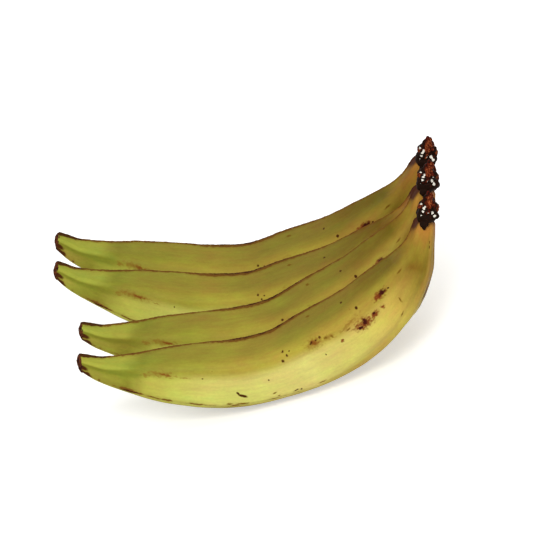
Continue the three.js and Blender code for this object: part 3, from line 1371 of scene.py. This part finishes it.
@dataclass
class Banana:
    """One banana of the hand.

    Attributes:
        number: Its place in the hand, from 1 at the front.
        body_right: How far to the right its neck would end if the crown didn't hold it.
        body_height: The height at which it would end then.
        turn_up: How far its tip is turned up about that end, in degrees.
        splay: How far its tip is splayed to the back about that end, in degrees.
        growth: How long it has grown, with the first one as 1.
        neck_height: The height at which the crown holds its neck.
        shape: The form that it shares with the others.
        body_spacing: How far one banana lies behind the next, in millimetres.
        neck_spacing: How far one neck's end lies behind the next, in millimetres.
        middle_row: The place in the hand that lies right over its middle.
        rows: Its rows of faces.
        run_on: How many of them run on into the crown.
        waist: How much narrower the neck gets there, as a share.
        around: How many faces it has round its middle line.
        rings: How wide each ring in its two ends is, as falling shares of the radius.
        grain_shift: How far its grain is shifted from the one in front, in millimetres.
    """

    number: int
    body_right: float
    body_height: float
    turn_up: float
    splay: float
    growth: float
    neck_height: float
    shape: FruitShape = FruitShape()
    body_spacing: float = 23.1
    neck_spacing: float = 11.0
    middle_row: float = 2.5
    rows: int = 410
    run_on: int = 10
    waist: float = 0.22
    around: int = 192
    rings: tuple[float, ...] = (0.93, 0.8, 0.5)
    grain_shift: tuple[float, float, float] = (310.0, 170.0, 230.0)

    def build(self) -> bpy.types.Object:
        """Models the banana in the hand's own frame, in millimetres.

        Returns:
            The banana.
        """
        bar = straight_bar(self.around, self.rows, self.rings)
        mesh, spots = bar_mesh(bar, f"peel_{self.number}")
        out, angle = round_the_axis(spots)
        share = (spots[:, 2] * self.rows - self.run_on) / (self.rows - self.run_on)
        mesh.vertices.foreach_set("co", self.placed(mesh, share, out, angle).ravel())
        return bpy.data.objects.new(f"banana_peel_{self.number}", mesh)

    def placed(
        self, mesh: bpy.types.Mesh, share: np.ndarray, out: np.ndarray, angle: np.ndarray
    ) -> np.ndarray:
        """Bends the straight bar into the banana, and notes on the mesh what its finish reads.

        Args:
            mesh: The banana's mesh.
            share: How far along the middle line each point is, below 0 inside the crown.
            out: How far out from its axis, as a share of the radius.
            angle: The angle round it, in radians up from the front.

        Returns:
            The points in the hand's own frame, in millimetres.
        """
        spots, _ = self.shape.line().at(share)
        arc = self.shape.arc(share)
        narrowed = 1 - self.waist * eased(-share * self.rows, 0, self.run_on)
        radius = spots[:, 2] * self.shape.section(angle, arc) * narrowed
        around = np.column_stack([-np.cos(angle), np.sin(angle)])
        straight = np.column_stack([arc, around * (out * radius)[:, None]])
        grain = straight + np.array(self.grain_shift) * self.number
        for name, values in ((STRAIGHT, straight), (GRAIN, grain)):
            layer = mesh.attributes.new(name, "FLOAT_VECTOR", "POINT")
            layer.data.foreach_set("vector", values.ravel())
        layer = mesh.attributes.new(RUBBED, "FLOAT", "POINT")
        layer.data.foreach_set("value", self.shape.rubbed(arc, angle, radius))
        radius = out * (radius + self.shape.relief(straight, grain, radius))
        return self.bent(share, radius, angle)

    def bent(
        self,
        share: np.ndarray,
        radius: np.ndarray,
        angle: np.ndarray,
        past: float | np.ndarray = 0.0,
    ) -> np.ndarray:
        """Puts points round the banana's middle line in the hand's own frame.

        Args:
            share: How far along the middle line each point is.
            radius: How far it lies from that line, in millimetres.
            angle: The angle round the line, in radians up from the front.
            past: How far past that spot of the line it lies, in millimetres.

        Returns:
            The points in the hand's own frame, in millimetres.
        """
        spots, runs = self.shape.line(self.growth).at(share)
        run = runs[:, :2] / np.linalg.norm(runs[:, :2], axis=1)[:, None]
        outward = radius * np.sin(angle)
        past = past + self.shape.tip_tilt * outward * eased(share, self.shape.tilted_from, 1)
        flat = np.column_stack([
            spots[:, 0] + outward * run[:, 1] + past * run[:, 0],
            -radius * np.cos(angle),
            spots[:, 1] - outward * run[:, 0] + past * run[:, 1],
        ])
        row = self.number - self.middle_row
        splay = Matrix.Rotation(math.radians(-self.splay), 3, "Z")
        turn = np.array(splay @ Matrix.Rotation(math.radians(self.turn_up), 3, "Y"))
        body = np.array([self.body_right, row * self.body_spacing, self.body_height])
        neck = np.array([0, row * self.neck_spacing, self.neck_height])
        drawing = 1 - eased(share, 0, self.shape.drawn_share)
        return flat @ turn.T + body + drawing[:, None] * (neck - body)

    def foot(self) -> np.ndarray:
        """The end of the neck's middle line, where its knob of the crown stands."""
        return self.bent(np.zeros(1), np.zeros(1), np.zeros(1))[0]


@dataclass(frozen=True)
class Crumbs:
    """The crumbs of one size that a dried flower end is ragged with.

    Attributes:
        size: How far apart they lie, as a share of the tip's radius.
        wider: How far they swell it, as a share of that radius.
        longer: How far they lengthen it, in millimetres.
        seed: Moves their pattern on from one banana to the next.
    """

    size: float
    wider: float
    longer: float
    seed: float


@dataclass
class BlossomEnd:
    """The dried remnant of the flower on a banana's tip: a short ragged stub with a domed end.

    Attributes:
        banana: The banana that it ends.
        start: How far past the tip it starts, in millimetres.
        length: Its length at its rim, in millimetres.
        dome: How much further its middle reaches.
        widths: Its radius at even steps, as shares of the tip's.
        crumbs: The coarse and the fine crumbs that it is ragged with.
        sides: How many faces it has round its axis.
        rows: How many rows of faces it has along its axis.
        rings: How wide each ring in its two ends is, as falling shares of the radius.
    """

    banana: Banana
    start: float = -0.7
    length: float = 1.1
    dome: float = 0.9
    widths: tuple[float, ...] = (0.86, 0.99, 1.02, 1.0, 0.97, 0.9)
    crumbs: tuple[Crumbs, ...] = (Crumbs(0.45, 0.06, 0.3, 3), Crumbs(0.16, 0.03, 0.12, 5))
    sides: int = 96
    rows: int = 18
    rings: tuple[float, ...] = (0.85, 0.65, 0.45, 0.25)

    def build(self) -> bpy.types.Object:
        """Models the stub in the hand's own frame, in millimetres.

        Returns:
            The stub.
        """
        bar = straight_bar(self.sides, self.rows, self.rings)
        mesh, spots = bar_mesh(bar, f"dried_flower_{self.banana.number}")
        out, angle = round_the_axis(spots)
        share = spots[:, 2]
        whole = np.ones_like(share)
        width = np.interp(share, np.linspace(0, 1, len(self.widths)), self.widths)
        reach = self.length + self.dome * (1 - out ** 2)
        for crumbs in self.crumbs:
            ragged = Lumps(crumbs.size).at(spots, crumbs.seed * self.banana.number)
            width += crumbs.wider * ragged
            reach += crumbs.longer * ragged
        shape = self.banana.shape
        section = shape.section(angle, shape.arc(whole))
        radius = out * shape.stations[-1].half * section * width
        past = self.start + share * reach
        mesh.vertices.foreach_set("co", self.banana.bent(whole, radius, angle, past).ravel())
        return bpy.data.objects.new(f"dried_flower_end_{self.banana.number}", mesh)


@dataclass(frozen=True)
class Bulge:
    """A rounded bulge of a knob, in millimetres from the knob's own foot.

    Attributes:
        right: How far to the right its middle lies, away from the fruit.
        front: How far in front.
        up: How far up.
        size: Half its width, depth and height.
        fibrous: How fibrous its tissue is, from 0 to 1.
    """

    right: float
    front: float
    up: float
    size: tuple[float, float, float]
    fibrous: float = 0


@dataclass(frozen=True)
class GlintDrop:
    """A raised bump on a knob, painted pale as a highlight, in millimetres from the knob's own foot.

    Attributes:
        right: How far to the right its middle lies.
        front: How far in front.
        up: How far up.
        size: Half its width and height.
    """

    right: float
    front: float
    up: float
    size: tuple[float, float]


@dataclass(frozen=True)
class Knob:
    """How the knob on one neck differs from the others.

    Attributes:
        right: How far it stands to the right, in millimetres.
        lift: How far it is lifted.
        stretch: How much taller it is.
    """

    right: float
    lift: float
    stretch: float


@dataclass
class Crown:
    """The dried crown: a knob on the end of each neck, grown together with the next one.

    Attributes:
        bananas: The bananas that it joins.
        knobs: The knob on each of them.
        bulges: The bulges of every knob.
        glint_drops: The small raised bumps on every knob, painted pale as highlights.
        drop_depth: Half the depth of a drop, from front to back.
        drop_edge: Where a drop starts to thin out and where it ends, as shares of its size.
        drop_height: How far a drop stands out.
        ragged: How ragged the edges of the painted highlights are.
        foot_right: How far the middle of a knob's foot lies to the right of its neck's end.
        bridge: Half the width and height of a bridge between two knobs and how far above their
            feet it lies, at even steps from the one in front to the one behind.
        bridge_depth: Half the depth of each of the balls that it is made of.
        bridge_right: How far it lies to the right of the feet.
        grain: The size of the faces that the bulges are grown together with.
        smoothings: How many times the grown skin is smoothed.
        spread: How far a bulge is shifted at most, in millimetres, so that no two knobs match.
        seed: The seed of those shifts.
        fibrous_edge: Where a bulge's fibres start to thin out and where they end, as shares of
            its size.
        crust: The unevenness of the whole crown.
        strands: The relief of its fibres.
        fuzz: The finer relief between them.
    """

    bananas: Sequence[Banana]
    knobs: tuple[Knob, ...] = (
        Knob(-0.1, -0.4, 1.1), Knob(-0.1, 0.1, 1.1), Knob(0.4, 0, 1), Knob(0, -2.1, 1.12),
    )
    bulges: tuple[Bulge, ...] = (
        Bulge(0.15, 0, 3.0, (3.3, 3.7, 2.6)),
        Bulge(0.3, 0.3, 5.6, (2.8, 3.2, 2.4)),
        Bulge(0.55, 0.3, 7.8, (1.7, 2.2, 2.0)),
        Bulge(-0.9, 1.8, 7.7, (1.1, 1.0, 1.3)),
        Bulge(-0.2, 1.5, 8.8, (0.9, 0.9, 1.2)),
        Bulge(0.5, 1.0, 9.8, (0.6, 0.8, 1.1), 0.3),
        Bulge(1.3, 1.2, 9.5, (0.7, 0.7, 1.1), 0.75),
        Bulge(0.9, 2.2, 9.0, (0.9, 0.9, 1.2), 0.85),
        Bulge(0.85, 3.0, 8.2, (1.1, 0.9, 1.3), 1),
        Bulge(0.6, 3.5, 7.2, (0.9, 0.8, 1.0), 1),
        Bulge(2.3, 3.0, 7.3, (1.1, 1.2, 1.1)),
        Bulge(1.9, 4.0, 7.6, (0.5, 0.4, 0.6), 0.5),
        Bulge(3.1, 1.8, 6.1, (0.5, 0.9, 1.0), 1),
        Bulge(2.4, 3.3, 4.3, (1.4, 1.2, 1.4)),
        Bulge(-2.2, 2.4, 6.6, (0.9, 0.9, 0.8), 0.8),
        Bulge(-1.5, 2.3, 7.0, (0.8, 0.8, 0.7), 0.3),
        Bulge(-0.9, 3.4, 6.4, (1.2, 0.9, 1.1)),
        Bulge(-1.1, 3.5, 5.2, (1.1, 0.9, 0.9)),
        Bulge(0.4, 3.9, 5.9, (0.5, 0.4, 0.5), 0.6),
        Bulge(-0.2, 4.1, 5.2, (0.4, 0.4, 0.5), 0.7),
        Bulge(0, 2.6, 3.2, (3.1, 1.7, 1.9)),
        Bulge(-2.2, 0.9, 3.4, (1.2, 2.5, 2.3)),
        Bulge(-0.8, 3.5, 1.4, (1.5, 0.8, 1.2)),
        Bulge(-0.8, 3.6, 0.4, (0.7, 0.5, 0.9)),
        Bulge(1.4, -2.8, 6.3, (1.5, 1.5, 1.6), 0.6),
        Bulge(-1.3, -2.7, 5.2, (1.5, 1.3, 1.5)),
        Bulge(0.8, -3.5, 3.4, (2.0, 1.1, 1.6)),
        Bulge(2.6, -1.6, 4.4, (1.1, 1.4, 1.6), 0.8),
        Bulge(-2.0, -2.3, 2.8, (1.4, 1.3, 1.6)),
    )
    # Each of these raised bumps is painted pale as a highlight where a glint falls.
    glint_drops: tuple[GlintDrop, ...] = (
        GlintDrop(1.6, 3.95, 5.2, (0.5, 0.45)),
        GlintDrop(2.3, 4.44, 4.5, (0.45, 0.5)),
        GlintDrop(-0.75, 4.2, 7.15, (0.35, 0.35)),
        GlintDrop(-1.15, 4.25, 6.6, (0.4, 0.35)),
        GlintDrop(-1.4, 4.2, 5.7, (0.4, 0.35)),
        GlintDrop(-1.9, 2.9, 7.5, (0.35, 0.25)),
        GlintDrop(0.3, 4.3, 5.2, (0.25, 0.25)),
        GlintDrop(2.0, 4.3, 6.5, (0.25, 0.25)),
        GlintDrop(-1.9, 3.9, 4.3, (0.2, 0.2)),
        GlintDrop(1.3, -3.6, 6.8, (0.5, 0.4)),
        GlintDrop(2.9, -2.6, 5.2, (0.4, 0.5)),
    )
    drop_depth: float = 1.2
    drop_edge: tuple[float, float] = (0.7, 1.2)
    drop_height: float = 0.15
    ragged: Lumps = Lumps(0.5, 0.5)
    foot_right: float = 0.8
    bridge: tuple[tuple[float, float, float], ...] = (
        (2.1, 4.0, 0.8), (2.1, 3.8, 0.9), (2.0, 3.5, 1.0), (1.8, 3.2, 1.0), (1.5, 2.9, 1.1),
        (1.3, 2.5, 1.4), (1.2, 2.2, 1.8),
    )
    bridge_depth: float = 1.7
    bridge_right: float = 0.2
    grain: float = 0.2
    smoothings: int = 5
    spread: float = 0.2
    seed: int = 11
    fibrous_edge: tuple[float, float] = (0.9, 1.5)
    crust: tuple[Lumps, ...] = (Lumps(1.6, 0.15), Lumps(0.8, 0.12))
    strands: Lumps = Lumps(0.45, 0.25, (1, 1, 0.35))
    fuzz: Lumps = Lumps(0.35, 0.1)

    def build(self) -> bpy.types.Object:
        """Models the crown in the hand's own frame, in millimetres.

        Returns:
            The crown.
        """
        feet = [
            banana.foot() + (self.foot_right + knob.right, 0, knob.lift)
            for banana, knob in zip(self.bananas, self.knobs)
        ]
        placed = self.place_bulges(feet)
        rough = bmesh.new()
        for bulge, place in placed:
            self.add_ball(rough, place, bulge.size)
        self.add_bridges(rough, feet)
        mesh = self.grown_together(rough)
        self.weather(mesh, feet, placed)
        return bpy.data.objects.new("dried_crown", mesh)

    def place_bulges(self, feet: Sequence[np.ndarray]) -> list[tuple[Bulge, np.ndarray]]:
        """Finds where the bulges of every knob go, each shifted a little.

        Args:
            feet: The foot of each knob.

        Returns:
            Each bulge with its place.
        """
        chance = random.Random(self.seed)
        placed = []
        for foot, knob in zip(feet, self.knobs):
            for bulge in self.bulges:
                shift = [chance.uniform(-self.spread, self.spread) for _ in range(3)]
                place = foot + (bulge.right, -bulge.front, bulge.up * knob.stretch) + shift
                placed.append((bulge, place))
        return placed

    def add_bridges(self, rough: bmesh.types.BMesh, feet: Sequence[np.ndarray]) -> None:
        """Adds the bridges between the knobs to the rough crown.

        Args:
            rough: The mesh of the rough crown.
            feet: The foot of each knob.
        """
        shares = np.linspace(0, 1, len(self.bridge))
        for near, far in zip(feet, feet[1:]):
            for share, (width, height, up) in zip(shares, self.bridge):
                place = near + share * (far - near) + (self.bridge_right, 0, up)
                self.add_ball(rough, place, (width, self.bridge_depth, height))

    def weather(
        self,
        mesh: bpy.types.Mesh,
        feet: Sequence[np.ndarray],
        placed: Sequence[tuple[Bulge, np.ndarray]],
    ) -> None:
        """Roughens the grown crown, and notes on its mesh what its finish reads.

        Args:
            mesh: The crown's mesh.
            feet: The foot of each knob.
            placed: Each bulge with its place.
        """
        spots = np.zeros(len(mesh.vertices) * 3)
        normals = np.zeros_like(spots)
        mesh.vertices.foreach_get("co", spots)
        mesh.vertices.foreach_get("normal", normals)
        spots, normals = spots.reshape(-1, 3), normals.reshape(-1, 3)
        fibrous = np.zeros(len(spots))
        for bulge, place in placed:
            reach = np.linalg.norm((spots - place) / bulge.size, axis=1)
            fibrous = np.maximum(fibrous, bulge.fibrous * (1 - eased(reach, *self.fibrous_edge)))
        # Where the pale painted highlights lie, on the raised bumps.
        painted_glints = self.painted_glints(spots, feet)
        nearest = np.abs(spots[:, 1, None] - np.array(feet)[:, 1]).argmin(1)
        height = spots[:, 2] - np.array(feet)[nearest, 2]
        layer = mesh.attributes.new(TISSUE, "FLOAT_VECTOR", "POINT")
        layer.data.foreach_set("vector", np.column_stack([fibrous, height, painted_glints]).ravel())
        swell = sum(lumps.at(spots) for lumps in self.crust)
        swell += (self.strands.at(spots) + self.fuzz.at(spots)) * fibrous
        swell += self.drop_height * painted_glints
        mesh.vertices.foreach_set("co", (spots + normals * swell[:, None]).ravel())

    def painted_glints(self, spots: np.ndarray, feet: Sequence[np.ndarray]) -> np.ndarray:
        """How much painted highlight covers each spot of the crown.

        Args:
            spots: The spots.
            feet: The foot of each knob.

        Returns:
            The cover from 0 to 1.
        """
        cover = np.zeros(len(spots))
        ragged = self.ragged.at(spots)
        for foot, knob in zip(feet, self.knobs):
            for drop in self.glint_drops:
                away = spots - foot - (drop.right, -drop.front, drop.up * knob.stretch)
                size = (drop.size[0], self.drop_depth, drop.size[1])
                reach = np.linalg.norm(away / size, axis=1) + ragged
                cover = np.maximum(cover, 1 - eased(reach, *self.drop_edge))
        return cover

    def add_ball(
        self, rough: bmesh.types.BMesh, place: Sequence[float], size: Sequence[float]
    ) -> None:
        """Adds an egg-shaped ball to the rough crown.

        Args:
            rough: The mesh of the rough crown.
            place: Where its middle goes.
            size: Half its width, depth and height.
        """
        matrix = Matrix.Translation(place) @ Matrix.Diagonal((*size, 1))
        bmesh.ops.create_icosphere(rough, subdivisions=3, radius=1, matrix=matrix)

    def grown_together(self, rough: bmesh.types.BMesh) -> bpy.types.Mesh:
        """Grows the overlapping balls together into one skin.

        Args:
            rough: The balls.

        Returns:
            The skin's mesh.
        """
        mesh = bpy.data.meshes.new("crown_rough")
        rough.to_mesh(mesh)
        rough.free()
        piece = bpy.data.objects.new("crown_rough", mesh)
        bpy.context.scene.collection.objects.link(piece)
        remesh = piece.modifiers.new("grow_together", "REMESH")
        remesh.mode = "VOXEL"
        remesh.voxel_size = self.grain
        soften = piece.modifiers.new("soften", "SMOOTH")
        soften.factor = 0.5
        soften.iterations = self.smoothings
        graph = bpy.context.evaluated_depsgraph_get()
        grown = bpy.data.meshes.new_from_object(piece.evaluated_get(graph))
        bpy.data.objects.remove(piece)
        bpy.data.meshes.remove(mesh)
        grown.name = "crown"
        return grown


@dataclass
class Hand:
    """The whole hand: four bananas, their dried flower ends and the crown.

    Attributes:
        bananas: The bananas, from the front one to the back one.
    """

    bananas: tuple[Banana, ...] = (
        Banana(1, 0, 1.3, 0, 0, 1, -7.6),
        Banana(2, 0, 1.5, 0, 0, 1, -2.1),
        Banana(3, -0.7, -10.5, 9.2, 4.3, 1.016, -7.2),
        Banana(4, -0.7, -10.9, 9.2, 4.3, 1.018, -1.7),
    )

    def build(self) -> Settling:
        """Models every piece, lays the hand down and dresses it.

        Returns:
            The move that set the hand down.
        """
        peel = PeelFinish().material()
        dried_flower = DriedFlowerFinish().material()
        peels = {f"banana_{banana.number}": banana.build() for banana in self.bananas}
        settling = Settling.onto(peels)
        for node, piece in peels.items():
            self.set_down(piece, settling, peel, node)
        for banana in self.bananas:
            end = BlossomEnd(banana).build()
            node = f"blossom_end_{banana.number}"
            self.set_down(end, settling, dried_flower, node)
        crown = Crown(self.bananas).build()
        self.set_down(crown, settling, CrownFinish().material(), "crown")
        return settling

    def set_down(
        self,
        piece: bpy.types.Object,
        settling: Settling,
        finish: bpy.types.Material,
        node: str,
    ) -> None:
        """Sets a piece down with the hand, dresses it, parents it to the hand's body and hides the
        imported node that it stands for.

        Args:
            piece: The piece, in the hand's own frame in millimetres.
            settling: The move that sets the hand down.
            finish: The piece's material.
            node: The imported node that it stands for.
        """
        piece.data.transform(settling.matrix())
        bpy.context.scene.collection.objects.link(piece)
        piece.data.materials.clear()
        piece.data.materials.append(finish)
        piece.data.shade_smooth()
        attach(piece, BODY)
        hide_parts(node)
        log.info("%s: %d faces", piece.name, len(piece.data.polygons))


# ------------------------------------------------------------------ the studio


@dataclass
class Studio:
    """A pale table, soft lamps and a long lens, set up round the hand.

    Attributes:
        looking_down: How far the camera looks down on the hand as it grew, in degrees.
        aim: The point that the camera aims at, in the hand's own frame in millimetres.
        field_width: The width that the picture takes in there, in millimetres.
        lens: The camera's focal length, in millimetres.
        sensor: The width of its sensor, in millimetres.
        table_half: Half the width of the table, in metres.
        lamp_distance: How far each lamp hangs from the middle of the hand, in metres.
        lamp_aim: How high over the table that middle is, in metres.
        room_light: How brightly the white room lights the hand.
    """

    looking_down: float = 25
    aim: tuple[float, float, float] = (-51.4, 0, -30.5)
    field_width: float = 170.6
    lens: float = 600
    sensor: float = 36
    table_half: float = 4
    lamp_distance: float = 1.2
    lamp_aim: float = 0.02
    room_light: float = 0.38

    def set_up(self, settling: Settling) -> None:
        """Places the camera, the table, the lamps and the surroundings.

        Args:
            settling: The move that set the hand down on the table.
        """
        self.place_camera(settling)
        self.place_table()
        self.place_lamps()
        self.set_world()
        bpy.context.scene.view_settings.view_transform = "Standard"

    def place_camera(self, settling: Settling) -> None:
        """Places the camera where it sees the hand as it grew, however it leans now.

        Args:
            settling: The move that set the hand down on the table.
        """
        down = math.radians(self.looking_down)
        ahead = settling.turn @ Vector((0, math.cos(down), -math.sin(down)))
        upward = settling.turn @ Vector((0, math.sin(down), math.cos(down)))
        right = ahead.cross(upward)
        camera = bpy.data.cameras.new("long_lens")
        camera.lens = self.lens
        camera.sensor_width = self.sensor
        distance = self.field_width * MM * self.lens / self.sensor
        camera.clip_end = 4 * distance
        stand = bpy.data.objects.new("camera", camera)
        basis = Matrix((right, upward, -ahead)).transposed()
        target = settling.matrix() @ Vector(self.aim)
        stand.matrix_world = Matrix.Translation(target - ahead * distance) @ basis.to_4x4()
        bpy.context.scene.collection.objects.link(stand)
        bpy.context.scene.camera = stand

    def place_table(self) -> None:
        """Lays the table that the hand rests on, at the hand's lowest point."""
        board = bmesh.new()
        under = Matrix.Translation((0, 0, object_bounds()[0].z))
        bmesh.ops.create_grid(
            board, x_segments=1, y_segments=1, size=self.table_half, matrix=under)
        mesh = bpy.data.meshes.new("table")
        board.to_mesh(mesh)
        board.free()
        mesh.materials.append(TableFinish().material())
        table = bpy.data.objects.new("table", mesh)
        bpy.context.scene.collection.objects.link(table)
        table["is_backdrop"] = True

    def place_lamps(self) -> None:
        """Hangs a broad soft lamp before the hand, and weaker ones above and behind it."""
        self.hang_lamp("front_lamp", azimuth=2, height=36, size=0.4, power=8.6)
        self.hang_lamp("top_lamp", azimuth=-60, height=70, size=0.7, power=0.6)
        self.hang_lamp("back_lamp", azimuth=175, height=26, size=0.6, power=5.4)

    def hang_lamp(
        self, name: str, azimuth: float, height: float, size: float, power: float
    ) -> None:
        """Hangs a square lamp that shines on the hand.

        Args:
            name: The lamp's name.
            azimuth: How far round it hangs, in degrees from the front towards the crown.
            height: How high it hangs, in degrees over the table.
            size: The length of its sides, in metres.
            power: Its power, in watts.
        """
        light = bpy.data.lights.new(name, "AREA")
        light.size = size
        light.energy = power
        lamp = bpy.data.objects.new(name, light)
        level, lift = math.radians(azimuth), math.radians(height)
        across = Vector((math.sin(level), -math.cos(level), 0)) * math.cos(lift)
        away = across + Vector((0, 0, math.sin(lift)))
        lamp.location = away * self.lamp_distance + Vector((0, 0, self.lamp_aim))
        lamp.rotation_euler = (-away).to_track_quat("-Z", "Y").to_euler()
        lamp.visible_camera = False
        bpy.context.scene.collection.objects.link(lamp)

    def set_world(self) -> None:
        """Lights the hand evenly from all round, and shows white behind it."""
        world = bpy.data.worlds.new("white_room")
        world.use_nodes = True
        tree = world.node_tree
        tree.nodes.clear()
        level = add_node(tree, "ShaderNodeMix", {
            "Factor": seen_or_mirrored(tree), "A": self.room_light, "B": 1.0})
        background = add_node(tree, "ShaderNodeBackground", {
            "Color": (1, 1, 1, 1), "Strength": level})
        add_node(tree, "ShaderNodeOutputWorld", {"Surface": background})
        bpy.context.scene.world = world


def main() -> None:
    """Builds the hand and the studio round it."""
    logging.basicConfig(level=logging.INFO, format="%(name)s: %(message)s")
    settling = Hand().build()
    Studio().set_up(settling)


if __name__ == "__main__":
    main()
